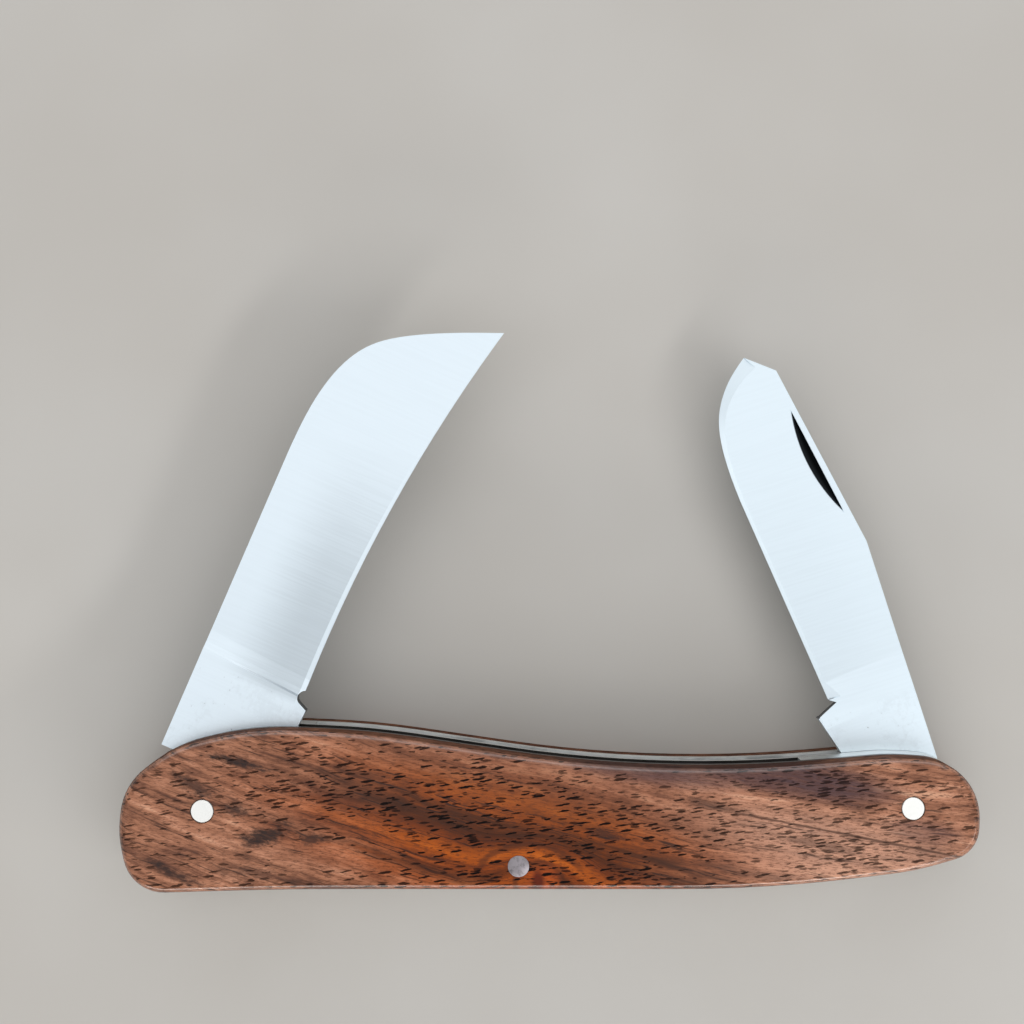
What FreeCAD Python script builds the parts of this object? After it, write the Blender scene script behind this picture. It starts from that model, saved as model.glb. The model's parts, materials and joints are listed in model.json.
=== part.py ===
import FreeCAD, Part
import math
import os
import Sketcher

# Two-blade folding pocket knife on its rear scale, both blades half open.
# X runs along the handle, Y points to the side the blades come out of, Z points up.
# Zero is on the rear scale's flat outer face, halfway along, level with the hawkbill pivot.

doc = FreeCAD.newDocument("pocket_knife")
sheet = doc.addObject("Spreadsheet::Sheet", "Sizes")

SIZES = (
    # handle outline, measured from the hawkbill pivot's level
    ("handle_length", 97.1),
    ("hump_rise", 9.0),
    ("waist_rise", 4.65),
    ("tail_rise", 5.95),
    ("back_drop", 8.97),
    # layers, from the rear scale to the front one
    ("scale_thickness", 3.5),
    ("scale_round", 1.0),
    ("liner_thickness", 0.8),
    ("divider_thickness", 0.6),
    ("slot_width", 2.6),
    # pins and what runs on them
    ("hawkbill_pivot_inset", 9.45),
    ("spey_pivot_inset", 7.65),
    ("spey_pivot_rise", 0.3),
    ("pivot_pin_diameter", 2.7),
    ("centre_pin_diameter", 2.4),
    ("centre_pin_lead", 3.5),
    ("centre_pin_drop", 6.2),
    ("centre_pin_dome", 0.3),
    ("pin_chamfer", 0.12),
    ("bushing_diameter", 3.7),
    ("washer_diameter", 5.9),
    ("washer_thickness", 0.15),
    ("fit_gap", 0.02),
    ("running_gap", 0.03),
    ("cam_gap", 0.12),
    # both blades
    ("blade_stock", 2.2),
    ("edge_half", 0.17),
    ("spine_relief", 0.1),
    ("bevel_width", 2.6),
    ("bevel_rise", 1.1),
    ("bevel_land", 0.02),
    ("nick_length", 10.8),
    ("nick_depth", 0.42),
    ("nick_angle", 30.0),
    # hawkbill blade, from its pivot
    ("hawkbill_angle", 66.6),
    ("hawkbill_spine", 7.7),
    ("hawkbill_reach", 63.3),
    ("hawkbill_droop", 9.6),
    ("hawkbill_heel", 16.4),
    ("hawkbill_heel_drop", 5.0),
    ("hawkbill_hollow", 1.55),
    ("hawkbill_kick", 14.4),
    ("hawkbill_kick_drop", 5.96),
    ("hawkbill_tang", 5.0),
    ("hawkbill_shoulder", 4.3),
    ("hawkbill_plunge_lead", 0.92),
    ("hawkbill_plunge_ramp", 2.2),
    ("hawkbill_plunge_angle", 4.2),
    ("hawkbill_nick_reach", 39.0),
    ("hawkbill_nick_rise", 6.3),
    # spey blade, from its pivot
    ("spey_angle", 108.0),
    ("spey_spine", 5.6),
    ("spey_reach", 54.4),
    ("spey_belly", 6.97),
    ("spey_heel", 13.4),
    ("spey_heel_drop", 4.25),
    ("spey_kick", 11.7),
    ("spey_kick_drop", 6.1),
    ("spey_tang", 3.4),
    ("spey_shoulder", 2.0),
    ("spey_plunge_lead", 3.0),
    ("spey_plunge_ramp", 5.0),
    ("spey_plunge_angle", 5.3),
    ("spey_nick_reach", 40.5),
    ("spey_nick_rise", 2.9),
    ("spey_nick_angle", 9.4),
    # springs
    ("hawkbill_spring_bed", 5.15),
    ("hawkbill_spring_dip", 6.2),
    ("spey_spring_bed", 5.2),
    ("spey_spring_dip", 5.6),
    ("spring_hump_drop", 4.3),
    ("spring_hump_half", 2.3),
    ("spring_hump_slope", 4.5),
    ("anchor_length", 12.0),
    ("stop_gap", 0.1),
    ("spring_bend_round", 2.5),
    ("hawkbill_spring_tip_round", 1.9),
    ("spey_spring_tip_round", 1.5),
    # how far a cut runs past the material it removes
    ("overrun", 6.0),
)


class Size:
    """A length together with the cell formula that gives it."""

    def __init__(self, value, formula):
        self.value = value
        self.formula = formula

    def __add__(self, other):
        return Size(self.value + value_of(other), f"({self.formula} + {formula_of(other)})")

    def __sub__(self, other):
        return Size(self.value - value_of(other), f"({self.formula} - {formula_of(other)})")

    def __mul__(self, other):
        return Size(self.value * value_of(other), f"({self.formula} * {formula_of(other)})")

    def __truediv__(self, other):
        return Size(self.value / value_of(other), f"({self.formula} / {formula_of(other)})")

    def __neg__(self):
        return Size(-self.value, f"(0 - {self.formula})")

    def __rmul__(self, other):
        return self * other


def value_of(term):
    return term.value if isinstance(term, Size) else float(term)


def formula_of(term):
    return term.formula if isinstance(term, Size) else f"({float(term)})"


def fill_sheet():
    """Write every size into the sheet and return them by name."""
    sizes = {}
    for row, (name, value) in enumerate(SIZES, start=1):
        sheet.set(f"A{row}", name)
        sheet.set(f"B{row}", str(value))
        sheet.setAlias(f"B{row}", name)
        sizes[name] = Size(value, f"Sizes.{name}")
    doc.recompute()
    return sizes


def new_body(label, x=0, y=0, z=0, angle=None):
    """A body with its own label and a placement bound to the sheet."""
    body = doc.addObject("PartDesign::Body", label)
    body.Label = label
    if angle is not None:
        body.Placement.Rotation = FreeCAD.Rotation(FreeCAD.Vector(0, 0, 1), value_of(angle))
        bind(body, "Placement.Rotation.Angle", angle)
    for axis, term in (("x", x), ("y", y), ("z", z)):
        bind(body, f"Placement.Base.{axis}", term)
    return body


def bind(thing, setting, term):
    """Give a setting its formula when it has one."""
    if isinstance(term, Size):
        thing.setExpression(setting, term.formula)


def origin_plane(body, role):
    return next(plane for plane in body.Origin.OriginFeatures if plane.Role == role)


class Drawing:
    """A sketch whose points are all held at bound distances from its own zero."""

    def __init__(self, body, name, support, height=0):
        self.body = body
        self.sketch = body.newObject("Sketcher::SketchObject", name)
        self.sketch.AttachmentSupport = [(support, "")]
        self.sketch.MapMode = "FlatFace"
        bind(self.sketch, "AttachmentOffset.Base.z", height)

    def limit(self, kind, *terms):
        return self.sketch.addConstraint(Sketcher.Constraint(kind, *terms))

    def hold(self, geometry, end, point):
        """Hold one end of a geometry at a point."""
        x, y = point
        for kind, term, axis in (("DistanceX", x, -2), ("DistanceY", y, -1)):
            if value_of(term) == 0:
                self.limit("PointOnObject", geometry, end, axis)
                continue
            number = self.limit(kind, -1, 1, geometry, end, value_of(term))
            bind(self.sketch, f"Constraints[{number}]", term)

    def spot(self, point):
        return FreeCAD.Vector(value_of(point[0]), value_of(point[1]), 0)

    def line(self, start, end):
        number = self.sketch.addGeometry(Part.LineSegment(self.spot(start), self.spot(end)))
        return number, 1, 2

    def arc(self, start, middle, end):
        """An arc through three points; a sketch keeps its arcs anticlockwise."""
        ends = self.bend(self.spot(start), self.spot(middle), self.spot(end))
        self.limit("PointOnObject", self.mark(middle), 1, ends[0])
        return ends

    def bend(self, first, via, last):
        """The free arc through three spots."""
        forward = (via - first).cross(last - via).z > 0
        round_edge = Part.Arc(first, via, last) if forward else Part.Arc(last, via, first)
        number = self.sketch.addGeometry(round_edge)
        return (number, 1, 2) if forward else (number, 2, 1)

    def mark(self, point):
        """A held point to draw by."""
        number = self.sketch.addGeometry(Part.Point(self.spot(point)), True)
        self.hold(number, 1, point)
        return number

    def cap(self, start, end):
        """An arc up to the sketch's upright axis, with its middle on that axis."""
        first, last = self.spot(start), self.spot(end)
        rise = last.y - first.y
        radius = (first.x ** 2 + rise ** 2) / (2 * rise)
        middle = FreeCAD.Vector(0, last.y - radius, 0)
        via = middle + (first + last - middle * 2).normalize() * radius
        number = self.sketch.addGeometry(Part.Arc(first, via, last))
        self.limit("PointOnObject", number, 3, -2)
        return number, 1, 2

    def curve(self, poles):
        """A smooth curve drawn by its poles."""
        weights = []
        for pole in poles:
            shape = Part.Circle(self.spot(pole), FreeCAD.Vector(0, 0, 1), 1)
            weights.append(self.sketch.addGeometry(shape, True))
        spline = Part.BSplineCurve()
        spline.buildFromPoles([self.spot(pole) for pole in poles], False, 3)
        number = self.sketch.addGeometry(spline)
        self.limit("Weight", weights[0], 1.0)
        for weight in weights[1:]:
            self.limit("Equal", weights[0], weight)
        for place, (weight, pole) in enumerate(zip(weights, poles)):
            self.limit("InternalAlignment:Sketcher::BSplineControlPoint", weight, 3, number, place)
            if 0 < place < len(poles) - 1:
                self.hold(weight, 3, pole)
        return number, 1, 2

    def path(self, start, steps, closed=True):
        """Lines, arcs and curves one after the other; each step ends at its last point.

        One point draws a line, two an arc, more a curve, and None before a point a cap.
        """
        here = start
        pieces = []
        for step in steps:
            if len(step) == 1:
                pieces.append(self.line(here, step[0]))
            elif step[0] is None:
                pieces.append(self.cap(here, step[1]))
            elif len(step) == 2:
                pieces.append(self.arc(here, step[0], step[1]))
            else:
                pieces.append(self.curve((here,) + step))
            here = step[-1]
        for piece, step in zip(pieces, steps):
            self.hold(piece[0], piece[2], step[-1])
        for before, after in zip(pieces, pieces[1:]):
            self.limit("Coincident", before[0], before[2], after[0], after[1])
        if closed:
            self.limit("Coincident", pieces[-1][0], pieces[-1][2], pieces[0][0], pieces[0][1])
        else:
            self.hold(pieces[0][0], pieces[0][1], start)
        return self

    def rounded(self, corners):
        """A closed outline of lines and arcs; each corner has its point and its bend radius."""
        spots = [self.spot(point) for point, radius in corners]
        bends = []
        for corner, before, after, (point, radius) in zip(
                spots, spots[-1:] + spots, spots[1:] + spots[:1], corners):
            back = (before - corner).normalize()
            ahead = (after - corner).normalize()
            half_turn = back.getAngle(ahead) / 2
            reach = value_of(radius) / math.tan(half_turn)
            crown = value_of(radius) / math.sin(half_turn) - value_of(radius)
            middle = corner + (back + ahead).normalize() * crown
            ends = self.bend(corner + back * reach, middle, corner + ahead * reach)
            limit = self.limit("Radius", ends[0], value_of(radius))
            bind(self.sketch, f"Constraints[{limit}]", radius)
            bends.append(ends)
        marks = [self.mark(point) for point, radius in corners]
        for before, after, *ends in zip(bends, bends[1:] + bends[:1], marks, marks[1:] + marks[:1]):
            start = self.sketch.getPoint(before[0], before[2])
            end = self.sketch.getPoint(after[0], after[1])
            side = self.sketch.addGeometry(Part.LineSegment(start, end))
            self.limit("Tangent", before[0], before[2], side, 1)
            self.limit("Tangent", side, 2, after[0], after[1])
            for mark in ends:
                self.limit("PointOnObject", mark, 1, side)
        return self

    def polygon(self, *corners):
        return self.path(corners[0], [(corner,) for corner in corners[1:] + corners[:1]])

    def circle(self, point, diameter):
        middle = self.spot(point)
        shape = Part.Circle(middle, FreeCAD.Vector(0, 0, 1), value_of(diameter) / 2)
        number = self.sketch.addGeometry(shape)
        self.hold(number, 3, point)
        limit = self.limit("Diameter", number, value_of(diameter))
        bind(self.sketch, f"Constraints[{limit}]", diameter)
        return self

    def pad(self, name, length, **settings):
        return self.feature("PartDesign::Pad", name, length, settings)

    def pocket(self, name, length=None, **settings):
        return self.feature("PartDesign::Pocket", name, length, settings)

    def feature(self, kind, name, length, settings):
        feature = self.body.newObject(kind, name)
        feature.Profile = self.sketch
        if length is None:
            feature.Type = "ThroughAll"
        else:
            feature.Length = value_of(length)
            bind(feature, "Length", length)
        for setting, value in settings.items():
            setattr(feature, setting, value)
        doc.recompute()
        return feature


def soften(body, kind, name, radius, chosen):
    """Round or chamfer the edges of the body's tip that are chosen."""
    base = body.Tip
    edges = base.Shape.Edges
    names = [f"Edge{number}" for number, edge in enumerate(edges, start=1) if chosen(edge)]
    feature = body.newObject(kind, name)
    feature.Base = (base, names)
    setting = "Radius" if kind.endswith("Fillet") else "Size"
    setattr(feature, setting, value_of(radius))
    bind(feature, setting, radius)
    doc.recompute()
    return feature


def level(edge, height):
    """Whether an edge lies flat at a height."""
    box = edge.BoundBox
    near = value_of(fit_gap)
    return abs(box.ZMin - value_of(height)) < near and abs(box.ZMax - value_of(height)) < near


def upright_at(edge, point):
    """Whether an edge stands upright over a point."""
    box = edge.BoundBox
    near = value_of(fit_gap)
    offset = max(
        abs(box.XMin - value_of(point[0])), abs(box.XMax - value_of(point[0])),
        abs(box.YMin - value_of(point[1])), abs(box.YMax - value_of(point[1])))
    return offset < near


sizes = fill_sheet()
fit_gap = sizes["fit_gap"]
running_gap = sizes["running_gap"]
overrun = sizes["overrun"]
slot_width = sizes["slot_width"]
blade_stock = sizes["blade_stock"]
liner_thickness = sizes["liner_thickness"]
scale_thickness = sizes["scale_thickness"]
washer_thickness = sizes["washer_thickness"]
half_length = sizes["handle_length"] / 2

# heights of the layers
rear_liner_base = scale_thickness
rear_slot_base = rear_liner_base + liner_thickness
divider_base = rear_slot_base + slot_width
front_slot_base = divider_base + sizes["divider_thickness"]
front_liner_base = front_slot_base + slot_width
front_scale_base = front_liner_base + liner_thickness
full_height = front_scale_base + scale_thickness

# pin places
hawkbill_pivot = (sizes["hawkbill_pivot_inset"] - half_length, 0)
spey_pivot = (half_length - sizes["spey_pivot_inset"], sizes["spey_pivot_rise"])
centre_place = (-sizes["centre_pin_lead"], -sizes["centre_pin_drop"])


def handle_outline(body):
    """The outline that the scales, liners and springs have in common."""
    hump_rise = sizes["hump_rise"]
    waist_rise = sizes["waist_rise"]
    tail_rise = sizes["tail_rise"]
    back_drop = sizes["back_drop"]
    # each corner: share of the half length, the height it follows, share of that height, bend radius
    corner_shares = (
        (-1.003, back_drop, -0.31, back_drop * 1.27), (-0.991, hump_rise, 0.32, hump_rise * 0.8),
        (-0.874, hump_rise, 0.797, half_length * 0.3), (-0.693, hump_rise, 1.032, half_length * 0.7),
        (-0.424, hump_rise, 0.972, half_length * 2.1), (0.27, waist_rise, 0.825, half_length * 3.2),
        (0.798, tail_rise, 1.013, half_length * 0.55), (1.005, tail_rise, 0.915, tail_rise * 1.12),
        (0.998, back_drop, -0.53, back_drop * 0.42), (0.854, back_drop, -0.763, half_length * 0.7),
        (0.51, back_drop, -0.995, half_length * 3.5), (-0.614, back_drop, -0.993, half_length * 9.0),
        (-0.973, back_drop, -1.05, back_drop * 0.52),
    )
    drawing = Drawing(body, "outline", origin_plane(body, "XY_Plane"))
    drawing.rounded([((half_length * along, rise * share), bend)
                     for along, rise, share, bend in corner_shares])
    return drawing


def pin_holes(body, gap):
    """Holes for the three pins, right through a plate."""
    drawing = Drawing(body, "pin_holes", origin_plane(body, "XY_Plane"))
    drawing.circle(hawkbill_pivot, sizes["pivot_pin_diameter"] + gap * 2)
    drawing.circle(spey_pivot, sizes["pivot_pin_diameter"] + gap * 2)
    drawing.circle(centre_place, sizes["centre_pin_diameter"] + gap * 2)
    return drawing.pocket("pin_bores", Midplane=True)


def make_plate(label, base, thickness):
    """A liner or the divider between the two slots."""
    body = new_body(label, z=base)
    handle_outline(body).pad("plate", thickness)
    pin_holes(body, fit_gap)
    return body


def make_scale(label, base, outer_face):
    """A wooden scale, rounded over all around its outer face."""
    body = new_body(label, z=base)
    handle_outline(body).pad("slab", scale_thickness)
    soften(body, "PartDesign::Fillet", "rounded_rim", sizes["scale_round"],
           lambda edge: level(edge, outer_face))
    pin_holes(body, fit_gap)
    return body


def make_spring(label, base, channel, tip_corner, tip_round, bends):
    """A back spring with its anchor, flush with the handle outline, cut free along its channel."""
    body = new_body(label, z=base)
    handle_outline(body).pad("blank", slot_width)
    drawing = Drawing(body, "channel", origin_plane(body, "XY_Plane"))
    drawing.polygon(*channel).pocket("blade_channel", Midplane=True)
    pin_holes(body, fit_gap)
    soften(body, "PartDesign::Fillet", "eased_bends", sizes["spring_bend_round"],
           lambda edge: any(upright_at(edge, bend) for bend in bends))
    tip_x, nose_y = value_of(tip_corner[0]), value_of(tip_corner[1])
    soften(body, "PartDesign::Fillet", "rounded_tip", tip_round,
           lambda edge: edge.BoundBox.ZLength > value_of(slot_width) / 2
           and edge.BoundBox.YMax < nose_y - value_of(tip_round)
           and abs(edge.BoundBox.XMin - tip_x) < value_of(fit_gap)
           and edge.BoundBox.XLength < value_of(fit_gap))
    return body


def make_hawkbill_spring():
    hump_left = centre_place[0] - sizes["spring_hump_half"]
    hump_right = centre_place[0] + sizes["spring_hump_half"]
    hump_drop = -sizes["spring_hump_drop"]
    anchor_face = spey_pivot[0] - sizes["anchor_length"]
    nose_level = -(sizes["hawkbill_tang"] + sizes["cam_gap"])
    tip = hawkbill_pivot[0] - sizes["hawkbill_shoulder"] + sizes["stop_gap"]
    bed = (hawkbill_pivot[0] + sizes["hawkbill_kick"], -sizes["hawkbill_spring_bed"])
    far_left = -(half_length + overrun)
    high = sizes["hump_rise"] + overrun
    low = -(sizes["back_drop"] + overrun)
    dip_start = (hump_right + sizes["spring_hump_slope"], -sizes["hawkbill_spring_dip"])
    dip_end = (anchor_face, -sizes["hawkbill_spring_dip"])
    channel = (
        (anchor_face, high), dip_end, dip_start, (hump_right, hump_drop), (hump_left, hump_drop),
        (hump_left - sizes["spring_hump_slope"], -sizes["hawkbill_spring_bed"]), bed,
        (hawkbill_pivot[0] + sizes["hawkbill_shoulder"], nose_level), (tip, nose_level),
        (tip, low), (far_left, low), (far_left, high))
    return make_spring("hawkbill_spring", front_slot_base, channel, (tip, nose_level),
                       sizes["hawkbill_spring_tip_round"], (dip_end, dip_start))


def make_spey_spring():
    hump_left = centre_place[0] - sizes["spring_hump_half"]
    hump_right = centre_place[0] + sizes["spring_hump_half"]
    hump_drop = -sizes["spring_hump_drop"]
    anchor_face = hawkbill_pivot[0] + sizes["anchor_length"]
    nose_share = 0.76
    nose_level = spey_pivot[1] - sizes["spey_tang"] - sizes["cam_gap"]
    tip = spey_pivot[0] + sizes["spey_shoulder"] - sizes["stop_gap"]
    bed = (spey_pivot[0] - sizes["spey_kick"], -sizes["spey_spring_bed"])
    far_right = half_length + overrun
    high = sizes["hump_rise"] + overrun
    low = -(sizes["back_drop"] + overrun)
    dip_start = (hump_left - sizes["spring_hump_slope"], -sizes["spey_spring_dip"])
    dip_end = (anchor_face, -sizes["spey_spring_dip"])
    channel = (
        (anchor_face, high), dip_end, dip_start, (hump_left, hump_drop), (hump_right, hump_drop),
        (hump_right + sizes["spring_hump_slope"], -sizes["spey_spring_bed"]), bed,
        (spey_pivot[0] - sizes["spey_tang"] * nose_share, nose_level), (tip, nose_level),
        (tip, low), (far_right, low), (far_right, high))
    return make_spring("spey_spring", rear_slot_base, channel, (tip, nose_level),
                       sizes["spey_spring_tip_round"], (dip_end, dip_start))


def make_ring(label, place, base, outer, inner, thickness):
    """A washer or a bushing."""
    body = new_body(label, place[0], place[1], base)
    drawing = Drawing(body, "ring", origin_plane(body, "XY_Plane"))
    drawing.circle((0, 0), outer).circle((0, 0), inner).pad("ring_pad", thickness)
    return body


def make_pin(label, place, diameter, dome):
    """A pin from face to face, its ends eased; the front end domes when a dome is given."""
    body = new_body(label, place[0], place[1])
    radius = diameter / 2
    ease = sizes["pin_chamfer"]
    drawing = Drawing(body, "half_profile", origin_plane(body, "XZ_Plane"))
    steps = [((radius - ease, 0),), ((radius, ease),)]
    if dome is None:
        steps += [((radius, full_height - ease),), ((radius - ease, full_height),), ((0, full_height),)]
    else:
        steps += [((radius, full_height),), (None, (0, full_height + dome))]
    steps.append(((0, 0),))
    drawing.path((0, 0), steps)
    turn = body.newObject("PartDesign::Revolution", "turned")
    turn.Profile = drawing.sketch
    turn.ReferenceAxis = (drawing.sketch, ["V_Axis"])
    turn.Angle = 360
    doc.recompute()
    return body


def ground_half(spine_span, inward):
    """Half the thickness of a ground blade, so far in from the level of its heel."""
    rise = (blade_stock / 2 - sizes["spine_relief"] - sizes["edge_half"]) / spine_span
    return sizes["edge_half"] + rise * inward


def grind(body, side, heel, plunge_line, spine_span):
    """Take both faces down from the spine to a thin edge, running in from the plunge line."""
    lead, lean, ramp, ramp_shares = plunge_line
    face = blade_stock / 2
    plunge = body.newObject("PartDesign::Plane", "plunge")
    plunge.AttachmentSupport = [(origin_plane(body, "YZ_Plane"), "")]
    plunge.MapMode = "FlatFace"
    turn = FreeCAD.Rotation(FreeCAD.Vector(0, -side, 0), value_of(lean))
    plunge.AttachmentOffset = FreeCAD.Placement(FreeCAD.Vector(0, 0, 0), turn)
    bind(plunge, "AttachmentOffset.Rotation.Angle", lean)
    bind(plunge, "AttachmentOffset.Base.x", heel[1])
    bind(plunge, "AttachmentOffset.Base.z", heel[0] - lead)
    doc.recompute()
    lip_share = 0.25
    lip = overrun * lip_share
    out = -lip * side
    far = (spine_span + overrun) * side
    thin = ground_half(spine_span, -lip)
    thick = ground_half(spine_span, spine_span + overrun)
    stages = [("heel", 0, 0)]
    stages += [(f"ramp_{i}", ramp * along, depth) for i, (along, depth) in enumerate(ramp_shares)]
    stages.append(("point", sizes["hawkbill_reach"], 1))
    for name, up in (("front_grind", 1), ("rear_grind", -1)):
        top = (face + overrun) * up
        sections = []
        for place, along, depth in stages:
            low = face + (thin - face) * depth
            high = face + (thick - face) * depth
            section = Drawing(body, f"{name}_at_{place}", plunge, along)
            section.polygon((out, low * up), (far, high * up), (far, top), (out, top))
            sections.append(section.sketch)
        cut = body.newObject("PartDesign::SubtractiveLoft", name)
        cut.Profile = sections[0]
        cut.Sections = sections[1:]
        cut.Ruled = True
        doc.recompute()


def whet(body, side, heel, edge_steps):
    """Bevel both faces to the cutting edge, following it from heel to tip."""
    width = sizes["bevel_width"]
    land = sizes["bevel_land"]
    rise = sizes["bevel_rise"]
    start = body.newObject("PartDesign::Plane", "heel_plane")
    start.AttachmentSupport = [(origin_plane(body, "YZ_Plane"), "")]
    start.MapMode = "FlatFace"
    bind(start, "AttachmentOffset.Base.x", heel[1])
    bind(start, "AttachmentOffset.Base.z", heel[0])
    doc.recompute()
    route = Drawing(body, "edge_route", origin_plane(body, "XY_Plane"))
    route.path(heel, edge_steps, closed=False)
    for name, up in (("front_bevel", 1), ("rear_bevel", -1)):
        profile = Drawing(body, f"{name}_section", start)
        profile.polygon((-width * side, land * up), (0, land * up), (width * side, (land + rise) * up),
                        (-width * side, (land + rise) * up))
        cut = body.newObject("PartDesign::SubtractivePipe", name)
        cut.Profile = profile.sketch
        cut.Spine = route.sketch
        cut.Mode = "Binormal"
        cut.Binormal = FreeCAD.Vector(0, 0, 1)
        doc.recompute()


def nail_nick(body, place, turn, up, side):
    """A crescent cut by a leaning round cutter, straight along its spine side."""
    depth = sizes["nick_depth"]
    half = sizes["nick_length"] / 2
    radius = (half * half / depth + depth) / 2
    plane = body.newObject("PartDesign::Plane", "nick_plane")
    plane.AttachmentSupport = [(origin_plane(body, "XY_Plane"), "")]
    plane.MapMode = "FlatFace"
    swing = FreeCAD.Rotation(FreeCAD.Vector(0, 0, 1), turn)
    tilt = FreeCAD.Rotation(FreeCAD.Vector(1, 0, 0), up * (90 - side * value_of(sizes["nick_angle"])))
    plane.AttachmentOffset = FreeCAD.Placement(FreeCAD.Vector(0, 0, 0), swing.multiply(tilt))
    bind(plane, "AttachmentOffset.Base.x", place[0])
    bind(plane, "AttachmentOffset.Base.y", place[1])
    bind(plane, "AttachmentOffset.Base.z", place[2])
    doc.recompute()
    disc = Drawing(body, "cutter", plane)
    disc.circle((0, radius - depth), radius * 2)
    cutter_share = 0.25
    return disc.pocket("nail_nick", sizes["nick_length"] * cutter_share, Reversed=side == up)


def make_blade(label, pivot, base, angle, outline, heel, edge_steps, side, plunge_line, spine_span):
    """A blade in its own frame: pivot at zero, point along X, spine on the side given."""
    body = new_body(label, pivot[0], pivot[1], base + slot_width / 2, angle)
    drawing = Drawing(body, "outline", origin_plane(body, "XY_Plane"))
    drawing.path(outline[0], outline[1]).pad("stock", blade_stock, Midplane=True)
    grind(body, side, heel, plunge_line, spine_span)
    whet(body, side, heel, edge_steps)
    bore = Drawing(body, "bore", origin_plane(body, "XY_Plane"))
    bore.circle((0, 0), sizes["bushing_diameter"] + running_gap * 2).pocket("pivot_bore", Midplane=True)
    return body


def make_hawkbill():
    spine = sizes["hawkbill_spine"]
    reach = sizes["hawkbill_reach"]
    droop = sizes["hawkbill_droop"]
    heel = (sizes["hawkbill_heel"], -sizes["hawkbill_heel_drop"])
    kick = (sizes["hawkbill_kick"], -sizes["hawkbill_kick_drop"])
    tang = sizes["hawkbill_tang"]
    shoulder = sizes["hawkbill_shoulder"]
    notch = heel[0] - kick[0]
    drop = heel[1] - kick[1]
    tip = (reach, -droop)
    hollow = ((heel[0] + reach) / 2, (heel[1] - droop) / 2 + sizes["hawkbill_hollow"])
    # the back: where it leaves the straight, then the poles that carry it over to the point
    straight_share = 0.63
    back_shares = ((0.7, 1.0), (0.785, 0.94), (0.876, 0.64), (0.926, 0.09))
    droop_shares = (0.966, 0.46)
    notch_shares = ((0.4, 0.28), (0.78, 0.0))
    kick_shares = (0.9, 0.1)
    # the tang: closed flat, round run, open flat
    closed_flat_shares = ((0.336, -0.942), (-0.446, -0.895))
    open_flat_shares = (-0.392, 0.92)
    # the grind runs in steeply at its plunge line, then levels out
    ramp_shares = ((0.1, 0.3), (0.4, 0.75), (1.0, 1.0))
    plunge_line = (sizes["hawkbill_plunge_lead"], sizes["hawkbill_plunge_angle"],
                   sizes["hawkbill_plunge_ramp"], ramp_shares)
    back = tuple((reach * along, spine * up) for along, up in back_shares)
    notch_points = tuple((heel[0] - notch * along, heel[1] + notch * up) for along, up in notch_shares)
    open_flat = (tang * open_flat_shares[0], tang * open_flat_shares[1])
    steps = [
        ((reach * straight_share, spine),),
        back + ((reach * droop_shares[0], -droop * droop_shares[1]), tip),
        (hollow, heel),
        notch_points,
        (kick,),
        ((kick[0] - notch * kick_shares[0], kick[1] + drop * kick_shares[1]),),
        *(((tang * along, tang * up),) for along, up in closed_flat_shares),
        ((-tang, 0), open_flat),
        ((shoulder, open_flat[1]),),
        ((shoulder, spine),),
    ]
    spine_span = spine + (sizes["hawkbill_heel_drop"] + droop) / 2
    body = make_blade("hawkbill_blade", hawkbill_pivot, front_slot_base, sizes["hawkbill_angle"],
                      ((shoulder, spine), steps), heel, [(hollow, tip)], 1, plunge_line, spine_span)
    nick_rise = sizes["hawkbill_nick_rise"]
    nick_half = ground_half(spine_span, sizes["hawkbill_heel_drop"] + nick_rise)
    place = (sizes["hawkbill_nick_reach"], nick_rise, -nick_half)
    nail_nick(body, place, 0, -1, 1)
    return body


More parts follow.
